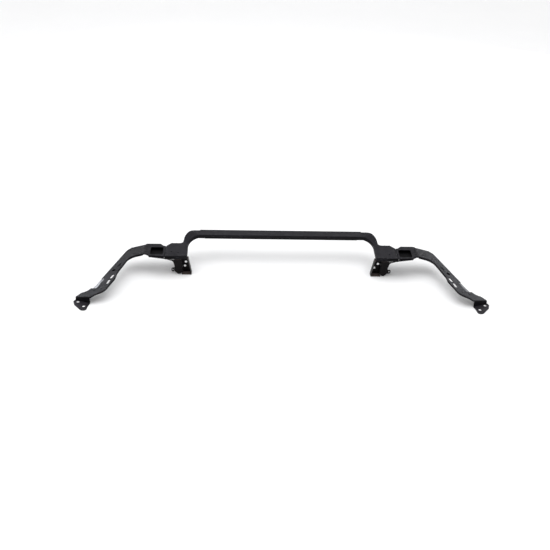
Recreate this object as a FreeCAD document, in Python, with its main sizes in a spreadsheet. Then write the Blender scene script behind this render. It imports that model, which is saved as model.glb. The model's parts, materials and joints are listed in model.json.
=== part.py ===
import FreeCAD, Part
import math
import os

import Sketcher

# Upper radiator-support tie bar: spot-welded sheet-steel pressings.
# Millimetres. X is across the vehicle, +Y towards its front, +Z up. The origin
# is on the middle plane, on the level that the four feet stand on.

doc = FreeCAD.newDocument("TieBar")
sheet = doc.addObject("Spreadsheet::Sheet", "Sizes")

SIZES = {
    "steel": 1.5,
    "press_radius": 3.0,
    "least_radius": 1.0,
    "clearance": 6.0,
    "fold_radius": 30.0,
    "sky": 115.0,
    "ground": -15.0,
    # Centre bar
    "bar_near": 167.5,
    "bar_top": 98.0,
    "bar_skirt": 9.5,
    "bar_depth": 17.0,
    "bar_closer_rise": 15.2,
    # Decks: the level tops outboard of the centre bar
    "corner_lap_top": 96.3,
    "lap_station": 30.0,
    "crown_station": 96.0,
    "saddle_station": 142.0,
    "neck_station": 350.0,
    "deck_top": 76.0,
    "deck_skirt": 13.0,
    "lean_foot": 63.0,
    "lean_out": 4.5,
    "lean_rise": 13.0,
    "lean_length": 70.0,
    "bay_reach": 60.0,
    "bay_middle": 200.0,
    "closer_top": 68.3,
    "lap_closer_top": 88.6,
    "lip_level": 69.5,
    "closer_depth": 6.3,
    "closer_inset": 2.5,
    "box_closer_top": 74.3,
    "box_closer_depth": 12.3,
    "box_skirt": 4.0,
    # Arms
    "arm_top": 74.3,
    "arm_start": 465.0,
    "arm_fold": 496.0,
    "arm_reach": 740.0,
    "arm_reach_top": 6.3,
    "arm_skirt": 5.0,
    "arm_closer_top": 72.6,
    "arm_closer_reach_top": 4.6,
    "arm_closer_depth": 10.0,
    "dish_half_length": 19.0,
    "dish_half_width": 8.0,
    "dish_half_height": 8.0,
    "dish_lift": 5.0,
    "facet_length": 62.0,
    "facet_width": 40.0,
    "facet_height": 20.0,
    "facet_slope": 14.0,
    # Holes and weld tabs
    "tab_radius": 6.0,
    "tab_drop": 4.5,
    "tab_edge_gap": 1.0,
    "drain_hole": 2.6,
    "opening_near": 57.0,
    "opening_far": 111.0,
    "opening_in": 428.0,
    "opening_out": 474.0,
    "opening_radius": 5.0,
    "pit_hole": 6.5,
    "oval_radius": 4.3,
    "slot_radius": 1.8,
    # Legs
    "leg_sheet": 2.0,
    "leg_near": 44.5,
    "leg_wall_near": 46.0,
    "leg_wall_reach": 24.5,
    "leg_plate_near": 68.5,
    "leg_hole": 4.5,
    "channel_depth": 23.9,
    "side_tab_near": 52.0,
    "side_tab_hole": 2.5,
    # End brackets
    "flange_sheet": 2.0,
    "wall_height": 40.0,
    "wall_gap": 1.8,
    "end_hole": 5.5,
}

# Plan outlines of the right-hand pieces: point name, X, Y, corner radius. They run
# clockwise seen from above, and the left-hand pieces are their mirror images.
OUTLINES = {
    "bar": [
        ("near_left", -300.0, 167.5, 0.0),
        ("far_left", -300.0, 212.0, 0.0),
        ("far_right", 300.0, 212.0, 0.0),
        ("near_right", 300.0, 167.5, 0.0),
    ],
    "bar_closer": [
        ("near_left", -282.0, 169.2, 0.0),
        ("far_left", -282.0, 210.3, 0.0),
        ("far_right", 282.0, 210.3, 0.0),
        ("near_right", 282.0, 169.2, 0.0),
    ],
    "corner": [
        ("lap_near", 282.3, 169.3, 0.0),
        ("lap_far", 282.3, 210.2, 0.0),
        ("crown", 352.0, 210.2, 40.0),
        ("saddle", 362.0, 146.0, 14.0),
        ("deck_far", 403.0, 146.0, 8.0),
        ("neck_far", 420.0, 124.0, 6.0),
        ("neck_near", 420.0, 44.0, 0.0),
        ("deck_near", 340.5, 46.5, 0.0),
        ("throat", 341.5, 169.3, 34.0),
    ],
    "box": [
        ("neck_near", 420.1, 43.5, 0.0),
        ("neck_far", 420.1, 124.0, 3.5),
        ("notch", 428.0, 124.0, 6.0),
        ("back_in", 440.0, 139.5, 7.0),
        ("back_out", 484.0, 139.5, 10.0),
        ("end_far", 494.0, 137.0, 0.0),
        ("end_near", 494.0, 63.2, 0.0),
        ("front", 476.0, 49.0, 20.0),
    ],
    "box_closer": [
        ("near_in", 427.0, 50.0, 4.0),
        ("far_in", 427.0, 117.5, 4.0),
        ("back_in", 443.0, 133.0, 5.0),
        ("end_far", 480.0, 133.0, 4.0),
        ("end_near", 480.0, 58.5, 4.0),
    ],
    "arm": [
        ("root_near", 482.0, 65.5, 0.0),
        ("root_far", 482.0, 134.5, 0.0),
        ("bend_far", 558.0, 137.0, 35.0),
        ("elbow", 649.0, -81.0, 55.0),
        ("hip", 676.0, -112.0, 25.0),
        ("shoe", 697.0, -116.0, 12.0),
        ("tip", 718.0, -137.0, 5.0),
        ("end_mid", 704.0, -141.5, 8.0),
        ("heel", 658.0, -162.0, 4.0),
        ("ankle", 645.0, -151.0, 30.0),
        ("belly_low", 612.0, -140.0, 30.0),
        ("belly", 584.0, -70.0, 60.0),
        ("step_low", 581.0, -36.0, 14.0),
        ("step_top", 575.0, -16.0, 0.0),
        ("bend_near", 547.0, 65.5, 30.0),
    ],
    "arm_closer": [
        ("root_near", 500.0, 71.5, 3.0),
        ("root_far", 500.0, 129.0, 3.0),
        ("bend_far", 554.0, 131.0, 29.0),
        ("end_far", 613.0, -21.0, 4.0),
        ("end_near", 583.0, -25.0, 4.0),
        ("bend_near", 550.5, 71.5, 36.0),
    ],
    "flange": [
        ("wall_in", 662.0, -157.0, 0.0),
        ("wall_out", 714.0, -134.8, 0.0),
        ("outer_far", 720.0, -146.0, 6.0),
        ("outer_near", 714.0, -168.0, 10.0),
        ("toe_out", 688.0, -202.0, 9.0),
        ("toe_in", 670.5, -204.0, 9.0),
        ("inner", 667.0, -177.0, 16.0),
    ],
    "flange_wall": [
        ("in_near", 662.7, -158.3, 0.0),
        ("in_far", 661.9, -156.5, 0.0),
        ("mid_far", 701.4, -138.9, 0.0),
        ("out_far", 713.0, -135.3, 0.0),
        ("out_near", 713.4, -137.0, 0.0),
        ("mid_near", 702.2, -140.6, 0.0),
    ],
    "tongue": [
        ("low_in", 640.0, -143.0, 5.0),
        ("high_in", 642.0, -114.0, 5.0),
        ("high_out", 688.0, -119.0, 6.0),
        ("wall_out", 700.0, -140.6, 0.0),
        ("wall_in", 664.0, -156.6, 0.0),
        ("heel", 652.0, -149.0, 5.0),
    ],
    "lip": [
        ("back_in", 388.0, 44.4, 0.0),
        ("step_in", 424.0, 44.4, 0.0),
        ("step_out", 427.0, 51.0, 0.0),
        ("back_out", 474.0, 57.0, 0.0),
        ("out", 466.0, 45.0, 0.0),
        ("in", 404.0, 31.0, 0.0),
    ],
    "foot": [
        ("toe_in", 325.5, 46.0, 0.0),
        ("heel_in", 325.5, 70.4, 0.0),
        ("heel_out", 363.0, 70.4, 0.0),
        ("toe_out", 360.0, 46.0, 0.0),
    ],
}

# Upright outlines of the right-hand leg pieces: point name, X, Z, corner radius.
UPRIGHTS = {
    "leg": [
        ("foot_in", 326.5, 0.0, 0.0),
        ("hip_in", 338.5, 61.9, 0.0),
        ("hip_out", 385.0, 61.9, 0.0),
        ("side_out", 384.0, 14.0, 8.0),
        ("point", 374.0, 2.0, 8.0),
    ],
    "leg_wall": [
        ("low_in", 325.0, 0.0, 0.0),
        ("high_in", 337.0, 61.9, 0.0),
        ("high_out", 339.0, 61.9, 0.0),
        ("low_out", 327.0, 0.0, 0.0),
    ],
    "channel": [
        ("foot_in", 356.0, 9.0, 6.0),
        ("top_in", 361.0, 61.8, 0.0),
        ("top_out", 387.0, 61.8, 0.0),
        ("side_out", 386.0, 14.0, 6.0),
        ("point", 373.0, 1.0, 6.0),
    ],
    "gusset": [
        ("low_in", 380.0, 40.0, 0.0),
        ("high_in", 363.0, 61.8, 0.0),
        ("high_out", 412.0, 61.8, 0.0),
        ("curve", 391.0, 56.0, 14.0),
        ("low_out", 386.4, 38.0, 0.0),
    ],
    "side_tab": [
        ("low_in", 386.9, 9.0, 0.0),
        ("high_in", 386.9, 26.0, 0.0),
        ("high_out", 398.0, 24.0, 5.0),
        ("low_out", 398.0, 10.0, 5.0),
    ],
}

# Round weld tabs along the near edge of the centre bar, and of each deck, by X.
BAR_TABS = {"one": -252.0, "two": -209.0, "three": -148.0, "four": -47.0,
            "five": 25.0, "six": 90.0, "seven": 176.0}
DECK_TABS = {"left": {"one": 375.0}, "right": {"one": 360.0, "two": 375.0}}

# Holes: X, then Y on a deck or Z on an upright leg.
DECK_HOLES = {
    "left": {"one": (399.0, 79.0), "two": (374.0, 73.0)},
    "right": {"one": (392.0, 75.0)},
}
LEG_HOLES = {
    "left": {"upper": (346.0, 40.5), "lower": (350.0, 24.0)},
    "right": {"upper": (352.0, 40.0), "lower": (339.0, 24.0)},
}
END_HOLES = {"outer": (704.5, -149.0), "inner": (681.0, -177.0)}
ARM_OVALS = {"upper": (597.0, -51.5, -70.0, 7.0), "lower": (606.5, -83.0, -78.0, 8.5)}
SIDE_TAB_HOLE = (392.5, 17.0)
ARM_PIT = (596.0, -9.0)
ARM_SLOT = (651.0, -123.0, -35.0, 3.2)

# Dished bead in the arm's top: X, Y, turn of its long axis from X.
ARM_DISH = (579.0, 20.0, -67.0)
# Sloping facet along the arm's outer edge: a point on its inner line, and that line's turn.
ARM_FACET = (623.0, -52.0, -68.5)

SIDES = {"left": -1, "right": 1}


def fill_sheet():
    cells = dict(SIZES)
    for outlines, second in ((OUTLINES, "y"), (UPRIGHTS, "z")):
        for outline, points in outlines.items():
            for point, across, other, radius in points:
                cells[f"{outline}_{point}_x"] = across
                cells[f"{outline}_{point}_{second}"] = other
                cells[f"{outline}_{point}_r"] = radius
    for row, (alias, value) in enumerate(cells.items(), start=1):
        sheet.set(f"A{row}", alias)
        sheet.set(f"B{row}", str(value))
        sheet.setAlias(f"B{row}", alias)
    doc.recompute()


def size(alias):
    return float(sheet.get(alias))


def origin_plane(body, role):
    return next(plane for plane in body.Origin.OriginFeatures if plane.Role == role)


def new_body(label):
    body = doc.addObject("PartDesign::Body", label)
    body.Label = label
    return body


def new_sketch(body, name, role="XY_Plane", level=None):
    sketch = body.newObject("Sketcher::SketchObject", name)
    sketch.AttachmentSupport = (origin_plane(body, role), "")
    sketch.MapMode = "FlatFace"
    if level:
        sketch.setExpression("AttachmentOffset.Base.z", level)
    return sketch


def closed_chain(sketch, corners, expressions=None):
    """Draw one closed polygon, each corner held by its two distances from the origin."""
    first = sketch.GeometryCount
    count = len(corners)
    for index in range(count):
        start = FreeCAD.Vector(*corners[index], 0)
        end = FreeCAD.Vector(*corners[(index + 1) % count], 0)
        sketch.addGeometry(Part.LineSegment(start, end), False)
    for index in range(count):
        following = first + (index + 1) % count
        sketch.addConstraint(Sketcher.Constraint("Coincident", first + index, 2, following, 1))
    for index, corner in enumerate(corners):
        for place, axis in enumerate(("DistanceX", "DistanceY")):
            held = Sketcher.Constraint(axis, first + index, 1, corner[place])
            number = sketch.addConstraint(held)
            if expressions:
                sketch.setExpression(f"Constraints[{number}]", expressions[index][place])


def circle(sketch, across, along, radius_alias):
    centre = FreeCAD.Vector(across, along, 0)
    number = sketch.addGeometry(
        Part.Circle(centre, FreeCAD.Vector(0, 0, 1), size(radius_alias)), False)
    sketch.addConstraint(Sketcher.Constraint("DistanceX", number, 3, across))
    sketch.addConstraint(Sketcher.Constraint("DistanceY", number, 3, along))
    radius = sketch.addConstraint(Sketcher.Constraint("Radius", number, size(radius_alias)))
    sketch.setExpression(f"Constraints[{radius}]", f"Sizes.{radius_alias}")


def slot(sketch, across, along, turn, radius_alias, half_run):
    """A round-ended slot, its long axis turned by `turn` degrees from X."""
    radius = size(radius_alias)
    angle = math.radians(turn)
    run = FreeCAD.Vector(math.cos(angle), math.sin(angle), 0)
    side = FreeCAD.Vector(-run.y, run.x, 0)
    centre = FreeCAD.Vector(across, along, 0)
    ends = [centre + run * half_run, centre - run * half_run]
    arcs = []
    for end, outward in zip(ends, (run, -run)):
        tangent = side if outward == run else -side
        arcs.append(Part.Arc(end - tangent * radius, end + outward * radius, end + tangent * radius))
    sketch.addGeometry(arcs[0], False)
    sketch.addGeometry(Part.LineSegment(ends[0] + side * radius, ends[1] + side * radius), False)
    sketch.addGeometry(arcs[1], False)
    sketch.addGeometry(Part.LineSegment(ends[1] - side * radius, ends[0] - side * radius), False)


def total(terms):
    """Sum of sheet values, each with its factor."""
    return sum(factor * size(alias) for factor, alias in terms)


def total_text(terms):
    return "(" + " + ".join(f"{factor} * Sizes.{alias}" for factor, alias in terms) + ")"


def inset_corner(points, index, open_edge):
    """How far a corner moves when its two edges move inwards by one unit each.

    The edge that starts at the point named `open_edge` moves outwards instead.
    """
    normals, moves = [], []
    for start, end in ((index - 1, index), (index, (index + 1) % len(points))):
        run = FreeCAD.Vector(points[end][1] - points[start][1], points[end][2] - points[start][2], 0)
        run.normalize()
        normals.append(FreeCAD.Vector(run.y, -run.x, 0))
        moves.append(-1.0 if points[start][0] == open_edge else 1.0)
    (first, second), (near, far) = normals, moves
    across = first.x * second.y - first.y * second.x
    return ((near * second.y - far * first.y) / across, (far * first.x - near * second.x) / across)


def is_hollow(points, index):
    before, here, after = points[index - 1], points[index], points[(index + 1) % len(points)]
    turn = (here[1] - before[1]) * (after[2] - here[2]) - (here[2] - before[2]) * (after[1] - here[1])
    return turn > 0


def edge_at(shape, corner, upright):
    """Find the straight edge that a sketch corner has become: upright, or along Y."""
    for number, edge in enumerate(shape.Edges, start=1):
        if len(edge.Vertexes) != 2:
            continue
        ends = [vertex.Point for vertex in edge.Vertexes]
        pairs = [(end.x, end.y if upright else end.z) for end in ends]
        if all(math.dist(pair, corner) < 0.001 for pair in pairs):
            return f"Edge{number}"
    raise ValueError(f"no edge at {corner}")


def round_corners(body, feature, outline, points, corners, upright=True, inset=()):
    for index, (point, _, _, radius) in enumerate(points):
        growth = total(inset) if is_hollow(points, index) else -total(inset)
        if radius == 0 or radius + growth < size("least_radius"):
            continue
        text = f"Sizes.{outline}_{point}_r"
        if inset:
            text += f" {'+' if growth > 0 else '-'} {total_text(inset)}"
        fillet = body.newObject("PartDesign::Fillet", f"{body.Label}_{point}_round")
        fillet.Base = (feature, [edge_at(feature.Shape, corners[index], upright)])
        fillet.setExpression("Radius", text)
        doc.recompute()
        if "Invalid" in fillet.State:
            raise ValueError(f"{body.Label}: no round at {point}")
        feature = fillet
    return feature


def facing(shape, direction, least=0.5):
    """Names of the faces that look along `direction`."""
    found = []
    for number, face in enumerate(shape.Faces, start=1):
        first_u, last_u, first_v, last_v = face.ParameterRange
        normal = face.normalAt((first_u + last_u) / 2, (first_v + last_v) / 2)
        if normal.dot(direction) > least:
            found.append(f"Face{number}")
    return found


def edges_in(shape, face_names, owners):
    """Names of the edges that belong to so many of the named faces."""
    faces = [shape.getElement(name) for name in face_names]
    found = []
    for number, edge in enumerate(shape.Edges, start=1):
        if sum(any(edge.isSame(own) for own in face.Edges) for face in faces) == owners:
            found.append(f"Edge{number}")
    return found


def rim_of(shape, face_names):
    return edges_in(shape, face_names, 1)


def shared_edges(shape, face_names):
    return edges_in(shape, face_names, 2)


def pad(body, sketch, length, name="pad"):
    feature = body.newObject("PartDesign::Pad", f"{body.Label}_{name}")
    feature.Profile = sketch
    feature.setExpression("Length", length)
    sketch.Visibility = False
    doc.recompute()
    return feature


def cut_through(body, sketch, name):
    """Cut right through, both ways from the sketch, and make sure that it took something."""
    before = body.Tip.Shape.Volume
    feature = body.newObject("PartDesign::Pocket", f"{body.Label}_{name}")
    feature.Profile = sketch
    feature.Type = "ThroughAll"
    feature.Midplane = True
    doc.recompute()
    if not feature.Shape.Volume < before:
        raise ValueError(f"{body.Label}: {name} cut nothing")
    return feature


def round_edges(body, feature, edges, radius, name):
    fillet = body.newObject("PartDesign::Fillet", f"{body.Label}_{name}")
    fillet.Base = (feature, edges)
    fillet.setExpression("Radius", total_text(radius))
    doc.recompute()
    if fillet.Shape.isNull() or not fillet.Shape.isValid():
        raise ValueError(f"{body.Label}: {name} failed")
    return fillet


def press(body, feature, open_faces, rim):
    """Round the closed side's rim and hollow the blank to sheet thickness."""
    fillet = round_edges(body, feature, rim, [(1, "press_radius")], "rim_round")
    names = []
    for direction in open_faces:
        names += facing(fillet.Shape, direction, 0.9)
    shell = body.newObject("PartDesign::Thickness", f"{body.Label}_sheet")
    shell.Base = (fillet, names)
    shell.setExpression("Value", "Sizes.steel")
    shell.Reversed = True
    shell.Mode = 0
    shell.Join = 0
    doc.recompute()
    return shell


UP = FreeCAD.Vector(0, 0, 1)
DOWN = FreeCAD.Vector(0, 0, -1)


def inset_outline(outline, points, second, side, inset=(), open_edge=None):
    """Corners of an outline moved inwards, and the expression that holds each one."""
    corners, expressions = [], []
    sign = "-" if side < 0 else ""
    for index, (point, across, along, _) in enumerate(points):
        name = f"Sizes.{outline}_{point}"
        texts = [f"{name}_x", f"{name}_{second}"]
        if inset:
            shift = inset_corner(points, index, open_edge)
            across += shift[0] * total(inset)
            along += shift[1] * total(inset)
            texts = [f"{own} + {part:.6f} * {total_text(inset)}" for own, part in zip(texts, shift)]
        corners.append((side * across, along))
        expressions.append((f"{sign}({texts[0]})", texts[1]))
    return corners, expressions


def flat_blank(body, outline, side, base, height, inset=(), open_edge=None):
    points = OUTLINES[outline]
    sketch = new_sketch(body, f"{body.Label}_outline", level=base)
    corners, expressions = inset_outline(outline, points, "y", side, inset, open_edge)
    closed_chain(sketch, corners, expressions)
    feature = pad(body, sketch, height)
    return round_corners(body, feature, outline, points, corners, inset=inset)


def lean_inner_wall(body, side, gap):
    """Lean the wall round the bay outwards, by cutting obliquely up from its foot."""
    sketch = new_sketch(body, f"{body.Label}_bay", level="Sizes.lean_foot")
    slant = math.hypot(size("lean_out"), size("lean_rise")) / size("lean_rise")
    shift = FreeCAD.Vector(gap * slant, gap, 0)
    near, throat = (FreeCAD.Vector(size(f"corner_{point}_x"), size(f"corner_{point}_y"), 0) + shift
                    for point in ("deck_near", "throat"))
    radius = size("corner_throat_r")
    down = (near - throat).normalize()
    across = FreeCAD.Vector(-1, 0, 0)
    half = down.getAngle(across) / 2
    reach = radius / math.tan(half)
    centre = throat + (down + across).normalize() * (radius / math.sin(half))
    middle = centre + (throat - centre).normalize() * radius
    low = near + down * size("bay_reach")
    corners = [throat + across * reach, throat + down * reach, low,
               FreeCAD.Vector(size("bay_middle"), low.y, 0),
               FreeCAD.Vector(size("bay_middle"), throat.y, 0)]
    corners = [FreeCAD.Vector(side * corner.x, corner.y, 0) for corner in corners]
    middle.x *= side
    sketch.addGeometry(Part.Arc(corners[0], middle, corners[1]), False)
    for start, end in zip(corners[1:], corners[2:] + corners[:1]):
        sketch.addGeometry(Part.LineSegment(start, end), False)
    cut = body.newObject("PartDesign::Pocket", f"{body.Label}_lean")
    cut.Profile = sketch
    cut.Reversed = True
    cut.UseCustomVector = True
    cut.Direction = FreeCAD.Vector(side * size("lean_out"), 0, size("lean_rise"))
    cut.setExpression("Length", "Sizes.lean_length")
    doc.recompute()
    return cut


def cut_to_profile(body, stations, over, under, side, diagonal=False):
    """Cut a tall blank above a bent line moved by `over`, and below it moved by `under`."""
    sketch = new_sketch(body, f"{body.Label}_profile", "XZ_Plane")
    turn = 1 if diagonal else side
    if diagonal:
        quarter = -45 if side > 0 else -135
        rotation = FreeCAD.Rotation(FreeCAD.Vector(0, 1, 0), quarter)
        sketch.AttachmentOffset = FreeCAD.Placement(FreeCAD.Vector(), rotation)
    for shift, limit in ((over, "sky"), (under, "ground")):
        line = [(turn * size(place), size(level) + total(shift)) for place, level in stations]
        words = [(f"{turn} * Sizes.{place}", f"Sizes.{level} + {total_text(shift)}")
                 for place, level in stations]
        line += [(line[-1][0], size(limit)), (line[0][0], size(limit))]
        words += [(words[-1][0], f"Sizes.{limit}"), (words[0][0], f"Sizes.{limit}")]
        closed_chain(sketch, line, words)
    return cut_through(body, sketch, "profile_cut")


def bent_pressing(label, outline, side, stations, depth, opens, inset=(), open_edge=None,
                  lean=None, finish=None):
    """A tray of sheet steel that follows a bent line: a blank less the core inside it."""
    steel = [(1, "steel")]
    outer = ([(0, "steel")], [(-1, depth)])
    inner = {"down": ([(-1, "steel")], [(-1, depth), (-1, "clearance")]),
             "up": ([(1, "clearance")], [(-1, depth), (1, "steel")])}
    closed_side = UP if opens == "down" else DOWN
    solids = []
    for name, (over, under), gap, radius in (
            ("blank", outer, list(inset), [(1, "press_radius")]),
            ("core", inner[opens], list(inset) + steel, [(1, "press_radius"), (-1, "steel")])):
        body = new_body(f"{label}_{name}")
        flat_blank(body, outline, side, "Sizes.ground", "Sizes.sky - Sizes.ground", gap, open_edge)
        cut = cut_to_profile(body, stations, over, under, side, lean is not None)
        folds = shared_edges(cut.Shape, facing(cut.Shape, closed_side))
        if folds:
            cut = round_edges(body, cut, folds, [(1, "fold_radius")], "fold_round")
        lean_gap = 0 if lean is None else lean + (size("steel") if name == "core" else 0)
        if lean is not None and opens == "down":
            cut = lean_inner_wall(body, side, lean_gap)
        rim = [edge for edge in rim_of(cut.Shape, facing(cut.Shape, closed_side))
               if not lies_on_open_edge(cut.Shape.getElement(edge), outline, side, open_edge)]
        if lean is None or opens == "up" or name == "blank":
            round_edges(body, cut, rim, radius, "rim_round")
        if lean is not None and opens == "up":
            lean_inner_wall(body, side, lean_gap)
        solids.append(body)
    if finish:
        finish(*solids)
    pressing = doc.addObject("Part::Cut", label)
    pressing.Label = label
    pressing.Base, pressing.Tool = solids
    doc.recompute()
    return pressing


def lies_on_open_edge(edge, outline, side, open_edge):
    """Whether an edge stands over the outline's open edge, which is along Y."""
    places = {point: across for point, across, _, _ in OUTLINES[outline]}
    if open_edge not in places:
        return False
    reach = 2 * size("steel") + 0.01
    return edge.BoundBox.XLength < 0.01 and abs(edge.CenterOfMass.x - side * places[open_edge]) < reach


def rounded_rectangle(sketch, left, near, right, far, radius):
    """A rectangle with quarter-round corners, drawn counter-clockwise from its near side."""
    slant = radius * (1 - math.sqrt(0.5))
    arcs = []
    for across, along, out_x, out_y in ((right, near, 1, -1), (right, far, 1, 1),
                                        (left, far, -1, 1), (left, near, -1, -1)):
        on_x = FreeCAD.Vector(across - out_x * radius, along, 0)
        on_y = FreeCAD.Vector(across, along - out_y * radius, 0)
        middle = FreeCAD.Vector(across - out_x * slant, along - out_y * slant, 0)
        ends = (on_x, on_y) if out_x * out_y < 0 else (on_y, on_x)
        arcs.append((ends[0], middle, ends[1]))
    for index, (start, middle, end) in enumerate(arcs):
        sketch.addGeometry(Part.Arc(start, middle, end), False)
        following = arcs[(index + 1) % len(arcs)][0]
        sketch.addGeometry(Part.LineSegment(end, following), False)


def add_tabs(body, places, edge, level, side=1):
    """Half-round weld tabs that stand out from a near edge, one sheet thick."""
    sketch = new_sketch(body, f"{body.Label}_tabs", level=level)
    for across in places:
        circle(sketch, side * across, edge, "tab_radius")
    return pad(body, sketch, "Sizes.steel", "tab_pads")


def cut_above_arm(body, side):
    """Trim an upright wall to the underside of the arm's sheet."""
    sketch = new_sketch(body, f"{body.Label}_trim", "XZ_Plane")
    line = [(side * size(place), size(level) - size("wall_gap")) for place, level in ARM_PROFILE]
    sky = size("sky")
    closed_chain(sketch, line + [(line[-1][0], sky), (line[0][0], sky)])
    return cut_through(body, sketch, "trim_cut")


CORNER_PROFILE = [("lap_station", "corner_lap_top"), ("crown_station", "corner_lap_top"),
                  ("saddle_station", "deck_top"), ("neck_station", "deck_top")]
CORNER_CLOSER_PROFILE = [("lap_station", "lap_closer_top"), ("crown_station", "lap_closer_top"),
                         ("saddle_station", "closer_top"), ("neck_station", "closer_top")]
ARM_PROFILE = [("arm_start", "arm_top"), ("arm_fold", "arm_top"), ("arm_reach", "arm_reach_top")]
ARM_CLOSER_PROFILE = [("arm_start", "arm_closer_top"), ("arm_fold", "arm_closer_top"),
                      ("arm_reach", "arm_closer_reach_top")]


def centre_bar():
    upper = new_body("centre_bar_upper")
    blank = flat_blank(upper, "bar", 1, "Sizes.bar_top - Sizes.bar_skirt", "Sizes.bar_skirt")
    ends = [FreeCAD.Vector(1, 0, 0), FreeCAD.Vector(-1, 0, 0)]
    sides = [f"Edge{number}" for number, edge in enumerate(blank.Shape.Edges, start=1)
             if edge.BoundBox.ZMin > size("bar_top") - 0.01 and edge.BoundBox.XLength > 1]
    press(upper, blank, [DOWN] + ends, sides)
    add_tabs(upper, BAR_TABS.values(), size("bar_near"), "Sizes.bar_top - Sizes.tab_drop")
    lower = new_body("centre_bar_lower")
    blank = flat_blank(lower, "bar_closer", 1, "Sizes.bar_top - Sizes.bar_depth",
                       "Sizes.bar_closer_rise")
    press(lower, blank, [UP], rim_of(blank.Shape, facing(blank.Shape, DOWN)))
    return [upper, lower]


def corner(hand, side):
    def finish(blank, core):
        near_edge = size("corner_deck_near_y") - size("tab_edge_gap")
        add_tabs(blank, DECK_TABS[hand].values(), near_edge, "Sizes.deck_top - Sizes.tab_drop", side)
        holes = new_sketch(blank, f"{blank.Label}_holes")
        for across, along in DECK_HOLES[hand].values():
            circle(holes, side * across, along, "drain_hole")
        cut_through(blank, holes, "holes_cut")

    upper = bent_pressing(f"corner_upper_{hand}", "corner", side, CORNER_PROFILE, "deck_skirt",
                          "down", open_edge="lap_near", lean=0.0, finish=finish)
    lower = bent_pressing(f"corner_lower_{hand}", "corner", side, CORNER_CLOSER_PROFILE,
                          "closer_depth", "up", [(1, "closer_inset")], lean=2.6)
    return [upper, lower]


def box(hand, side):
    upper = new_body(f"outer_box_upper_{hand}")
    blank = flat_blank(upper, "box", side, "Sizes.deck_top - Sizes.box_skirt", "Sizes.box_skirt")
    top_face = facing(blank.Shape, UP)
    end = side * size("box_end_far_x")
    rim = [name for name in rim_of(blank.Shape, top_face)
           if abs(blank.Shape.getElement(name).CenterOfMass.x - end) > 0.01]
    press(upper, blank, [DOWN, FreeCAD.Vector(side, 0, 0)], rim)
    opening = new_sketch(upper, f"{upper.Label}_opening")
    near, far, radius = size("opening_near"), size("opening_far"), size("opening_radius")
    left, right = sorted((side * size("opening_in"), side * size("opening_out")))
    rounded_rectangle(opening, left, near, right, far, radius)
    cut_through(upper, opening, "opening_cut")
    lower = new_body(f"outer_box_lower_{hand}")
    blank = flat_blank(lower, "box_closer", side, "Sizes.box_closer_top - Sizes.box_closer_depth",
                       "Sizes.box_closer_depth")
    press(lower, blank, [UP], rim_of(blank.Shape, facing(blank.Shape, DOWN)))
    lip = new_sketch(lower, f"{lower.Label}_lip", level="Sizes.lip_level")
    closed_chain(lip, *inset_outline("lip", OUTLINES["lip"], "y", side))
    pad(lower, lip, "Sizes.steel", "lip_pad")
    return [upper, lower]


def on_arm(side, spot, tilt, shift):
    """A placement on the arm's sloping top, its X turned as the spot says, moved by `shift`."""
    across, along, turn = spot
    fall = size("arm_top") - size("arm_reach_top")
    run = size("arm_reach") - size("arm_fold")
    height = size("arm_top") - fall * (across - size("arm_fold")) / run
    turned = FreeCAD.Rotation(FreeCAD.Vector(0, 1, 0), math.degrees(math.atan2(fall, run)))
    turned = turned.multiply(FreeCAD.Rotation(UP, turn))
    turned = turned.multiply(FreeCAD.Rotation(FreeCAD.Vector(1, 0, 0), tilt))
    place = FreeCAD.Vector(across, along, height) + turned.multVec(shift)
    axes = [turned.multVec(axis) for axis in (FreeCAD.Vector(1, 0, 0), FreeCAD.Vector(0, 1, 0), UP)]
    for vector in [place] + axes:
        vector.x *= side
    axes[1] *= side
    return FreeCAD.Placement(place, FreeCAD.Rotation(*axes, "XZY"))


def shape_arm_top(body, side, depth):
    """Dish and facet the arm's top, or the core under it by `depth`."""
    dish = body.newObject("PartDesign::SubtractiveEllipsoid", f"{body.Label}_dish")
    dish.setExpression("Radius1", "Sizes.dish_half_height")
    dish.setExpression("Radius2", "Sizes.dish_half_length")
    dish.setExpression("Radius3", "Sizes.dish_half_width")
    dish.Placement = on_arm(side, ARM_DISH, 0, FreeCAD.Vector(0, 0, size("dish_lift") - depth))
    doc.recompute()
    facet = body.newObject("PartDesign::SubtractiveBox", f"{body.Label}_facet")
    facet.setExpression("Length", "Sizes.facet_length")
    facet.setExpression("Width", "Sizes.facet_width")
    facet.setExpression("Height", "Sizes.facet_height")
    start = FreeCAD.Vector(0, 0 if side > 0 else size("facet_width"), -depth)
    facet.Placement = on_arm(side, ARM_FACET, -size("facet_slope"), start)
    doc.recompute()


def arm(hand, side):
    def finish(blank, core):
        shape_arm_top(blank, side, 0)
        shape_arm_top(core, side, size("steel"))
        holes = new_sketch(blank, f"{blank.Label}_holes")
        for across, along, turn, half_run in ARM_OVALS.values():
            slot(holes, side * across, along, side * turn, "oval_radius", half_run)
        circle(holes, side * ARM_PIT[0], ARM_PIT[1], "pit_hole")
        slot(holes, side * ARM_SLOT[0], ARM_SLOT[1], side * ARM_SLOT[2], "slot_radius", ARM_SLOT[3])
        cut_through(blank, holes, "holes_cut")

    upper = bent_pressing(f"arm_upper_{hand}", "arm", side, ARM_PROFILE, "arm_skirt", "down",
                          open_edge="root_near", finish=finish)
    closer = bent_pressing(f"arm_closer_{hand}", "arm_closer", side, ARM_CLOSER_PROFILE,
                           "arm_closer_depth", "up")
    return [upper, closer]


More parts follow.
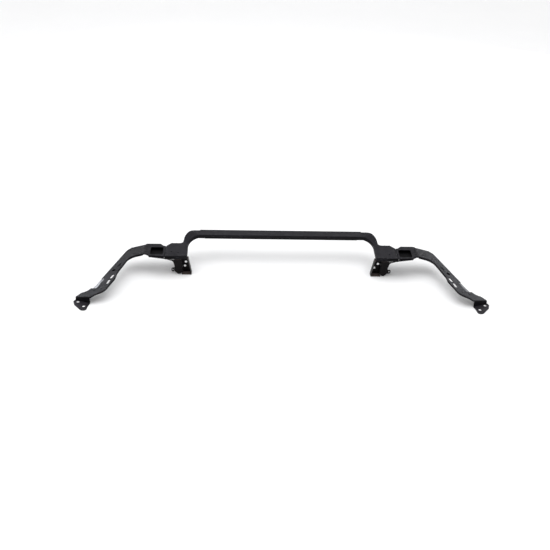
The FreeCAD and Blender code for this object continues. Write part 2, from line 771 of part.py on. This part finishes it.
def end_bracket(hand, side):
    bracket = new_body(f"end_bracket_{hand}")
    flat_blank(bracket, "tongue", side, "0", "Sizes.wall_height")
    under_arm = [(-1, "wall_gap")]
    cut_to_profile(bracket, ARM_PROFILE, under_arm, under_arm + [(-1, "flange_sheet")], side)
    flat_blank(bracket, "flange", side, "0", "Sizes.flange_sheet")
    wall = new_sketch(bracket, f"{bracket.Label}_wall", level="0")
    closed_chain(wall, *inset_outline("flange_wall", OUTLINES["flange_wall"], "y", side))
    pad(bracket, wall, "Sizes.wall_height", "wall_pad")
    cut_above_arm(bracket, side)
    holes = new_sketch(bracket, f"{bracket.Label}_holes")
    for across, along in END_HOLES.values():
        circle(holes, side * across, along, "end_hole")
    cut_through(bracket, holes, "holes_cut")
    return [bracket]


def upright(body, outline, side, front, thickness, inset=()):
    """Pad an upright outline from its front plane towards +Y."""
    points = UPRIGHTS[outline]
    back = f"-({front}) - ({thickness})"
    sketch = new_sketch(body, f"{body.Label}_{outline}_outline", "XZ_Plane", back)
    corners, expressions = inset_outline(outline, points, "z", side, inset)
    closed_chain(sketch, corners, expressions)
    feature = pad(body, sketch, thickness, outline)
    return round_corners(body, feature, outline, points, corners, False, inset)


def leg_plate(hand, side):
    """The leg's back plate with its inner side wall and its foot."""
    plate = new_body(f"leg_plate_{hand}")
    upright(plate, "leg", side, "Sizes.leg_plate_near", "Sizes.leg_sheet")
    upright(plate, "leg_wall", side, "Sizes.leg_wall_near", "Sizes.leg_wall_reach")
    foot = new_sketch(plate, f"{plate.Label}_foot", level="0")
    closed_chain(foot, *inset_outline("foot", OUTLINES["foot"], "y", side))
    pad(plate, foot, "Sizes.leg_sheet", "foot_pad")
    holes = new_sketch(plate, f"{plate.Label}_holes", "XZ_Plane")
    for across, height in LEG_HOLES[hand].values():
        circle(holes, side * across, height, "leg_hole")
    cut_through(plate, holes, "holes_cut")
    return plate


def leg_channel(hand, side):
    """A deep tray in front of the leg plate, open towards it, with a gusset to the box."""
    solids = []
    for name, start, inset, radius in (
            ("blank", "Sizes.leg_near", [], [(1, "press_radius")]),
            ("core", "Sizes.leg_near + Sizes.steel", [(1, "steel")],
             [(1, "press_radius"), (-1, "steel")])):
        body = new_body(f"leg_channel_{hand}_{name}")
        block = upright(body, "channel", side, start, "Sizes.channel_depth", inset)
        rim = rim_of(block.Shape, facing(block.Shape, FreeCAD.Vector(0, -1, 0)))
        round_edges(body, block, rim, radius, "rim_round")
        solids.append(body)
    upright(solids[0], "gusset", side, "Sizes.leg_near", "Sizes.steel")
    channel = doc.addObject("Part::Cut", f"leg_channel_{hand}")
    channel.Base, channel.Tool = solids
    doc.recompute()
    return channel


def leg(hand, side):
    tab = new_body(f"leg_side_tab_{hand}")
    upright(tab, "side_tab", side, "Sizes.side_tab_near", "Sizes.steel")
    hole = new_sketch(tab, f"{tab.Label}_hole", "XZ_Plane")
    circle(hole, side * SIDE_TAB_HOLE[0], SIDE_TAB_HOLE[1], "side_tab_hole")
    cut_through(tab, hole, "hole_cut")
    return [leg_plate(hand, side), leg_channel(hand, side), tab]


def write_parts(bodies):
    """Refuse a broken document, then write each body as a STEP file named by its label."""
    doc.recompute()
    for item in doc.Objects:
        if {"Invalid", "Error"} & set(item.State):
            raise ValueError(f"{item.Label} failed: {item.State}")
    os.makedirs("parts", exist_ok=True)
    for body in bodies:
        if body.Shape.isNull() or not body.Shape.isValid() or len(body.Shape.Solids) != 1:
            raise ValueError(f"{body.Label} isn't one valid solid")
        body.Shape.exportStep(f"parts/{body.Label}.step")
        print(body.Label, round(body.Shape.Volume / 1000, 1), "cm3")


fill_sheet()
bodies = centre_bar()
for hand, side in SIDES.items():
    bodies += corner(hand, side)
    bodies += box(hand, side)
    bodies += arm(hand, side)
    bodies += end_bracket(hand, side)
    bodies += leg(hand, side)
write_parts(bodies)
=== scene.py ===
"""A stamped steel radiator support tie bar in satin black coat, on a pale studio floor. Metres, Z up."""

import json
import math

import bmesh
import bpy
from mathutils import Matrix, Vector
from mathutils.bvhtree import BVHTree


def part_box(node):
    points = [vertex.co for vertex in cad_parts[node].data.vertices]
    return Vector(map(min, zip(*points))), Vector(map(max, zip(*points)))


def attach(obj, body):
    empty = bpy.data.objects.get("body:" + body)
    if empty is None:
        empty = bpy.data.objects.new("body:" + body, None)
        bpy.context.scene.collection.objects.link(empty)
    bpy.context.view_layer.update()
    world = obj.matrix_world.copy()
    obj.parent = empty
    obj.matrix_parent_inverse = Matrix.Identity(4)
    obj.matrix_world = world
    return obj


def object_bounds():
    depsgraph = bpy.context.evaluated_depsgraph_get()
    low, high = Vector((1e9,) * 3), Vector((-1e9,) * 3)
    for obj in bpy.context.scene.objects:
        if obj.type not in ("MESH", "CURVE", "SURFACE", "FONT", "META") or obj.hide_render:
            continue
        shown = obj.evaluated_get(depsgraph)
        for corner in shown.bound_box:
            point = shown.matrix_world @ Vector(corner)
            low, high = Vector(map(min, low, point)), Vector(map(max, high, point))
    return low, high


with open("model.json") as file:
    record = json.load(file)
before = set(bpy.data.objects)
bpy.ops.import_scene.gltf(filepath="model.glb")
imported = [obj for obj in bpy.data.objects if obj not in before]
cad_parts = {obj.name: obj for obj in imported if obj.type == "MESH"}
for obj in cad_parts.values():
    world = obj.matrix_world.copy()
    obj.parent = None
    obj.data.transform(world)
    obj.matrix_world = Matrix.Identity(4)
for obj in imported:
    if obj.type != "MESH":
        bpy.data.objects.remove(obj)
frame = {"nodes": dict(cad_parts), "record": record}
cad_low, cad_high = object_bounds()
scene = bpy.context.scene


# Node helpers -------------------------------------------------------------------------


def new_material(name):
    """An empty material with its principled shader and its output joined."""
    material = bpy.data.materials.new(name)
    material.use_nodes = True
    tree = material.node_tree
    tree.nodes.clear()
    shader = tree.nodes.new("ShaderNodeBsdfPrincipled")
    output = tree.nodes.new("ShaderNodeOutputMaterial")
    tree.links.new(shader.outputs["BSDF"], output.inputs["Surface"])
    return material, tree, shader


def feed(tree, value, socket):
    """Join a socket to an input, or set the input to a plain value."""
    if isinstance(value, bpy.types.NodeSocket):
        tree.links.new(value, socket)
    else:
        socket.default_value = value


def math_node(tree, operation, a, b=0.0):
    node = tree.nodes.new("ShaderNodeMath")
    node.operation = operation
    feed(tree, a, node.inputs[0])
    feed(tree, b, node.inputs[1])
    return node.outputs[0]


def noise(tree, coordinates, scale, detail=3.0, roughness=0.5):
    """Noise with its scale in cycles per metre."""
    node = tree.nodes.new("ShaderNodeTexNoise")
    node.inputs["Scale"].default_value = scale
    node.inputs["Detail"].default_value = detail
    node.inputs["Roughness"].default_value = roughness
    tree.links.new(coordinates, node.inputs["Vector"])
    return node.outputs["Fac"]


def spread(tree, value, low, high, to_low=0.0, to_high=1.0):
    """Map a value's range low..high to to_low..to_high, clamped."""
    node = tree.nodes.new("ShaderNodeMapRange")
    tree.links.new(value, node.inputs["Value"])
    node.inputs["From Min"].default_value = low
    node.inputs["From Max"].default_value = high
    node.inputs["To Min"].default_value = to_low
    node.inputs["To Max"].default_value = to_high
    return node.outputs["Result"]


def mix_colour(tree, factor, a, b):
    node = tree.nodes.new("ShaderNodeMix")
    node.data_type = "RGBA"
    feed(tree, factor, node.inputs["Factor"])
    feed(tree, a, node.inputs["A"])
    feed(tree, b, node.inputs["B"])
    return node.outputs["Result"]


def bump(tree, height, distance, strength, under=None):
    node = tree.nodes.new("ShaderNodeBump")
    node.inputs["Distance"].default_value = distance
    node.inputs["Strength"].default_value = strength
    tree.links.new(height, node.inputs["Height"])
    if under is not None:
        tree.links.new(under, node.inputs["Normal"])
    return node.outputs["Normal"]


COAT_IOR = 1.45
COAT_SPECULAR = 0.12


def painted_steel(name, dark, light, dust_and_top_light, gloss, peel=0.10, wave=0.3):
    """Thin black coat over pressed sheet: mottled colour, dust and painted top light on upward faces, fine
    peel and long waves.
    """
    material, tree, shader = new_material(name)
    place = tree.nodes.new("ShaderNodeTexCoord").outputs["Object"]
    geometry = tree.nodes.new("ShaderNodeNewGeometry")
    mottle = spread(tree, noise(tree, place, 22.0, 4.0), 0.35, 0.65)
    colour = mix_colour(tree, mottle, dark, light)

    # Upward faces mix toward the dust colour: partly dust, partly painted top light that keeps tops
    # lighter than the walls.
    split = tree.nodes.new("ShaderNodeSeparateXYZ")
    tree.links.new(geometry.outputs["Normal"], split.inputs[0])
    upward = spread(tree, split.outputs["Z"], 0.55, 0.98)
    patches = spread(tree, noise(tree, place, 60.0, 5.0, 0.62), 0.38, 0.72)
    dust_and_top_light_mask = math_node(tree, "MULTIPLY", upward, spread(tree, patches, 0.0, 1.0, 0.48, 0.62))
    colour = mix_colour(tree, dust_and_top_light_mask, colour, dust_and_top_light)
    tree.links.new(colour, shader.inputs["Base Color"])

    smear = spread(tree, noise(tree, place, 35.0, 3.0, 0.55), 0.3, 0.7, gloss - 0.06, gloss + 0.07)
    rough = math_node(tree, "ADD", smear, math_node(tree, "MULTIPLY", dust_and_top_light_mask, 0.06))
    tree.links.new(rough, shader.inputs["Roughness"])
    shader.inputs["IOR"].default_value = COAT_IOR
    shader.inputs["Specular IOR Level"].default_value = COAT_SPECULAR

    long_wave = bump(tree, noise(tree, place, 14.0, 1.0), 0.0016, wave)
    fine_peel = bump(tree, noise(tree, place, 850.0, 2.0), 0.00012, peel, long_wave)
    tree.links.new(fine_peel, shader.inputs["Normal"])
    return material


# Finishes -----------------------------------------------------------------------------

BLACK = (0.0026, 0.0024, 0.0034, 1.0)
BLACK_LIGHT = (0.0056, 0.0052, 0.0070, 1.0)
# The dust colours here are partly dust and partly painted top light, laid on upward faces to make tops
# lighter than walls.
DUST_AND_TOP_LIGHT = (0.0150, 0.0140, 0.0190, 1.0)
# The inner coat's colours are darker than the outer black as painted shade, where the lower pressings and
# trays sit in hollows and behind walls.
INNER_SHADED = (0.0012, 0.0011, 0.0014, 1.0)
INNER_SHADED_LIGHT = (0.0026, 0.0024, 0.0030, 1.0)
INNER_SHADED_DUST_AND_TOP_LIGHT = (0.0030, 0.0028, 0.0034, 1.0)
# The leg's colours are darkened below the other coats as painted shade, where the legs stand under the
# shoulders' overhang.
LEG_SHADED = (0.0016, 0.0010, 0.0013, 1.0)
LEG_SHADED_LIGHT = (0.0036, 0.0024, 0.0028, 1.0)
LEG_DUST_AND_TOP_LIGHT = (0.190, 0.150, 0.142, 1.0)
ARM_DUST_AND_TOP_LIGHT = (0.0065, 0.0060, 0.0095, 1.0)
BRACKET_DUST_AND_TOP_LIGHT = (0.036, 0.033, 0.040, 1.0)
WELD = (0.004, 0.004, 0.005, 1.0)
WELD_LIGHT = (0.010, 0.009, 0.011, 1.0)
WELD_DUST_AND_TOP_LIGHT = (0.018, 0.017, 0.020, 1.0)
LAP_WELD = (0.003, 0.003, 0.004, 1.0)
LAP_WELD_LIGHT = (0.006, 0.006, 0.007, 1.0)

FINISHES = {
    "bar_coat": painted_steel("bar_black", BLACK, BLACK_LIGHT, DUST_AND_TOP_LIGHT, 0.40),
    "deck_coat": painted_steel("deck_black", BLACK, BLACK_LIGHT, DUST_AND_TOP_LIGHT, 0.44),
    "arm_coat": painted_steel("arm_black", BLACK, BLACK_LIGHT, ARM_DUST_AND_TOP_LIGHT, 0.27, wave=0.7),
    # Leg coat darkened as painted shade.
    "leg_coat": painted_steel("leg_black_painted_shade", LEG_SHADED, LEG_SHADED_LIGHT, LEG_DUST_AND_TOP_LIGHT, 0.46),
    "bracket_coat": painted_steel("bracket_black", BLACK, BLACK_LIGHT, BRACKET_DUST_AND_TOP_LIGHT, 0.40),
    # Inner coat darkened as painted shade.
    "inner_coat": painted_steel("inner_black_painted_shade", INNER_SHADED, INNER_SHADED_LIGHT, INNER_SHADED_DUST_AND_TOP_LIGHT, 0.60),
}

for part in frame["record"]["subparts"]:
    node = frame["nodes"][part["node"]]
    if not node.data.materials:
        node.data.materials.append(None)
    for index in range(len(node.data.materials)):
        node.data.materials[index] = FINISHES[part["material_slot"]]

# Small pressed and welded detail ------------------------------------------------------

MILLIMETRE = 0.001
DOWN = Vector((0.0, 0.0, -1.0))

# Turned profiles of the small marks: radius and height over the sheet, in millimetres.
WELD_PROFILE = [(0.0, 0.06), (1.3, 0.06), (2.1, 0.26), (2.9, 0.30), (3.6, 0.01)]
BUMP_PROFILE = [(0.0, 1.30), (1.6, 1.15), (2.9, 0.70), (3.8, 0.22), (4.5, 0.01)]

# Rows of weld marks on the right-hand side, in plan: the row's corners and its spacing.
WELD_ROWS = {
    "corner_upper": ([((366.0, 141.0), (400.0, 141.0)), ((352.0, 53.5), (414.0, 52.0)),
                      ((326.0, 198.5), (345.0, 190.0))], 19.0),
    "outer_box_upper": ([((432.0, 48.0), (472.0, 54.0)), ((446.0, 133.5), (484.0, 133.0))], 18.0),
    "arm_upper": ([((512.0, 130.0), (546.0, 131.0)), ((560.0, 117.0), (634.0, -58.0)),
                   ((512.0, 72.0), (538.0, 70.0)), ((549.0, 55.0), (571.0, -8.0)),
                   ((590.0, -96.0), (612.0, -130.0)), ((640.0, -146.0), (664.0, -154.0))], 24.0),
}
LAP_WELDS = [(489.0, 113.0), (489.0, 96.0), (489.0, 79.0)]
LAP_WELD_GROWTH = 1.25
ARM_BUMP = (628.0, -118.0)

# Marks along the front of the centre bar, in metres: first X, step, height over the lower pressing's foot.
BAR_WELD_COUNT = 16
BAR_WELD_FIRST = -0.270
BAR_WELD_STEP = 0.036
BAR_WELD_HEIGHT = 0.0052
BAR_WELD_SHRINK = 0.6

MARK_SIDES = 20
DROP_HEIGHT = 0.05
BAR_WELD_RUN_UP = 0.1


def skin(name):
    """A search tree over a CAD node's faces."""
    mesh = frame["nodes"][name].data
    points = [vertex.co.copy() for vertex in mesh.vertices]
    return BVHTree.FromPolygons(points, [list(face.vertices) for face in mesh.polygons])


def widened(profile, factor):
    return [(radius * factor, height) for radius, height in profile]


def above(across, deep, side):
    """A place over the object, in metres, from a right-hand plan place in millimetres."""
    return (side * across * MILLIMETRE, deep * MILLIMETRE, cad_high.z + DROP_HEIGHT)


def turned_mark(shape, profile, spot, normal):
    """Add one turned mark to a bmesh, its foot on the sheet."""
    lie = normal.to_track_quat("Z", "Y").to_matrix()
    middle = shape.verts.new(spot + normal * profile[0][1] * MILLIMETRE)
    rings = []
    for radius, height in profile[1:]:
        ring = []
        for step in range(MARK_SIDES):
            turn = 2 * math.pi * step / MARK_SIDES
            offset = Vector((math.cos(turn) * radius, math.sin(turn) * radius, height)) * MILLIMETRE
            ring.append(shape.verts.new(spot + lie @ offset))
        rings.append(ring)
    for step in range(MARK_SIDES):
        after = (step + 1) % MARK_SIDES
        shape.faces.new((middle, rings[0][step], rings[0][after]))
        for inner, outer in zip(rings, rings[1:]):
            shape.faces.new((inner[step], outer[step], outer[after], inner[after]))
    for face in shape.faces:
        face.smooth = True


def add_marks(name, body_skin, profile, starts, direction, material):
    """One object of many turned marks, each dropped onto a CAD surface."""
    shape = bmesh.new()
    for start in starts:
        spot, normal, _, _ = body_skin.ray_cast(Vector(start), direction)
        if spot is not None:
            turned_mark(shape, profile, spot, normal)
    mesh = bpy.data.meshes.new(name)
    shape.to_mesh(mesh)
    shape.free()
    mesh.materials.append(material)
    piece = bpy.data.objects.new(name, mesh)
    scene.collection.objects.link(piece)
    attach(piece, "root")


def along(rows, spacing, side):
    """Places at even steps along each row, above the object, in metres."""
    places = []
    for start, end in rows:
        count = max(1, round(math.dist(start, end) / spacing))
        for step in range(count + 1):
            share = step / count
            across = start[0] + (end[0] - start[0]) * share
            deep = start[1] + (end[1] - start[1]) * share
            places.append(above(across, deep, side))
    return places


WELD_FINISH = painted_steel("weld_black", WELD, WELD_LIGHT, WELD_DUST_AND_TOP_LIGHT, 0.34)
LAP_FINISH = painted_steel("lap_weld_black", LAP_WELD, LAP_WELD_LIGHT, LAP_WELD_LIGHT, 0.55)

for hand, side in (("left", -1), ("right", 1)):
    for kind, (rows, spacing) in WELD_ROWS.items():
        add_marks(f"welds_{kind}_{hand}", skin(f"{kind}_{hand}"), WELD_PROFILE, along(rows, spacing, side),
                  DOWN, WELD_FINISH)
    lap_starts = [above(across, deep, side) for across, deep in LAP_WELDS]
    add_marks(f"lap_welds_{hand}", skin(f"outer_box_upper_{hand}"), widened(WELD_PROFILE, LAP_WELD_GROWTH),
              lap_starts, DOWN, LAP_FINISH)
    add_marks(f"arm_bump_{hand}", skin(f"arm_upper_{hand}"), BUMP_PROFILE, [above(*ARM_BUMP, side)], DOWN,
              FINISHES["arm_coat"])

bar_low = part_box("centre_bar_lower")[0]
bar_starts = [
    (BAR_WELD_FIRST + BAR_WELD_STEP * step, bar_low.y - BAR_WELD_RUN_UP, bar_low.z + BAR_WELD_HEIGHT)
    for step in range(BAR_WELD_COUNT)
]
add_marks("welds_bar", skin("centre_bar_lower"), widened(WELD_PROFILE, BAR_WELD_SHRINK), bar_starts,
          Vector((0.0, 1.0, 0.0)), WELD_FINISH)

# Floor, light and camera --------------------------------------------------------------


def studio_floor():
    """A broad level sheet that curves up behind the object."""
    half_width, near, far, rise, bend, steps = 9.0, -7.0, 6.0, 5.0, 2.5, 12
    outline = [(near, 0.0), (far - bend, 0.0)]
    for step in range(1, steps + 1):
        turn = math.radians(90.0 * step / steps)
        outline.append((far - bend + bend * math.sin(turn), bend - bend * math.cos(turn)))
    outline.append((far, rise))
    shape = bmesh.new()
    rows = [[shape.verts.new((side * half_width, y, z)) for side in (-1, 1)] for y, z in outline]
    for low, high in zip(rows, rows[1:]):
        face = shape.faces.new((low[0], low[1], high[1], high[0]))
        face.smooth = True
    mesh = bpy.data.meshes.new("studio_floor")
    shape.to_mesh(mesh)
    shape.free()
    floor = bpy.data.objects.new("studio_floor", mesh)
    floor.location.z = cad_low.z
    scene.collection.objects.link(floor)
    material, tree, shader = new_material("floor_white")
    place = tree.nodes.new("ShaderNodeTexCoord").outputs["Object"]
    tone = mix_colour(tree, noise(tree, place, 3.0), (0.90, 0.90, 0.905, 1.0), (0.93, 0.93, 0.93, 1.0))
    tree.links.new(tone, shader.inputs["Base Color"])
    shader.inputs["Roughness"].default_value = 0.9
    shader.inputs["Specular IOR Level"].default_value = 0.1
    mesh.materials.append(material)


def area_light(name, place, aim, size, watts, tint=(1.0, 1.0, 1.0)):
    data = bpy.data.lights.new(name, "AREA")
    data.shape = "RECTANGLE"
    data.size, data.size_y = size
    data.energy = watts
    data.color = tint
    light = bpy.data.objects.new(name, data)
    light.location = place
    light.rotation_euler = (Vector(aim) - Vector(place)).to_track_quat("-Z", "Y").to_euler()
    scene.collection.objects.link(light)


# The low strips that light the arms' facets: their aim on the right arm, and how far they stand from it.
STRIP_AIM = (0.62, -0.06, 0.04)
STRIP_OFFSET = (1.41, 2.64, 0.22)
STRIP_SIZE = (0.9, 0.4)
STRIP_WATTS = {"left": 16.0, "right": 8.0}


def set_lights():
    world = bpy.data.worlds.new("studio")
    world.use_nodes = True
    world.node_tree.nodes["Background"].inputs["Color"].default_value = (1.0, 1.0, 1.0, 1.0)
    world.node_tree.nodes["Background"].inputs["Strength"].default_value = 0.95
    scene.world = world
    middle = (cad_low + cad_high) / 2
    area_light("overhead", (0.0, 0.5, 3.2), middle, (4.5, 3.0), 48.0, (0.97, 0.98, 1.0))
    area_light("left_fill", (-3.2, -0.6, 1.9), middle, (2.0, 1.6), 14.0)
    for hand, side in (("left", -1), ("right", 1)):
        aim = Vector((side * STRIP_AIM[0], *STRIP_AIM[1:]))
        place = aim + Vector((side * STRIP_OFFSET[0], *STRIP_OFFSET[1:]))
        area_light(f"{hand}_strip", place, aim, STRIP_SIZE, STRIP_WATTS[hand], (0.90, 0.93, 1.0))


def set_camera():
    """The view from above and behind the tie bar, with the camera's own slight lean."""
    turn, rise, lean = (math.radians(angle) for angle in (-3.0, 29.5, 2.13))
    reach = 3.5
    aim = Vector(((cad_low.x + cad_high.x) / 2, 0.041, cad_low.z + 0.060))
    away = Vector((math.sin(turn) * math.cos(rise), -math.cos(turn) * math.cos(rise), math.sin(rise)))
    right = (-away).cross(Vector((0.0, 0.0, 1.0))).normalized()
    up = away.cross(right)
    across = right * math.cos(lean) + up * math.sin(lean)
    over = up * math.cos(lean) - right * math.sin(lean)
    data = bpy.data.cameras.new("camera")
    data.sensor_width = 36.0
    data.lens = 63.67
    data.shift_x = -0.0127
    data.shift_y = -0.0239
    data.clip_start = 0.05
    camera = bpy.data.objects.new("camera", data)
    turned = Matrix((across, over, away)).transposed().to_4x4()
    camera.matrix_world = Matrix.Translation(aim + reach * away) @ turned
    scene.collection.objects.link(camera)
    scene.camera = camera


studio_floor()
set_lights()
set_camera()
scene.view_settings.view_transform = "Standard"
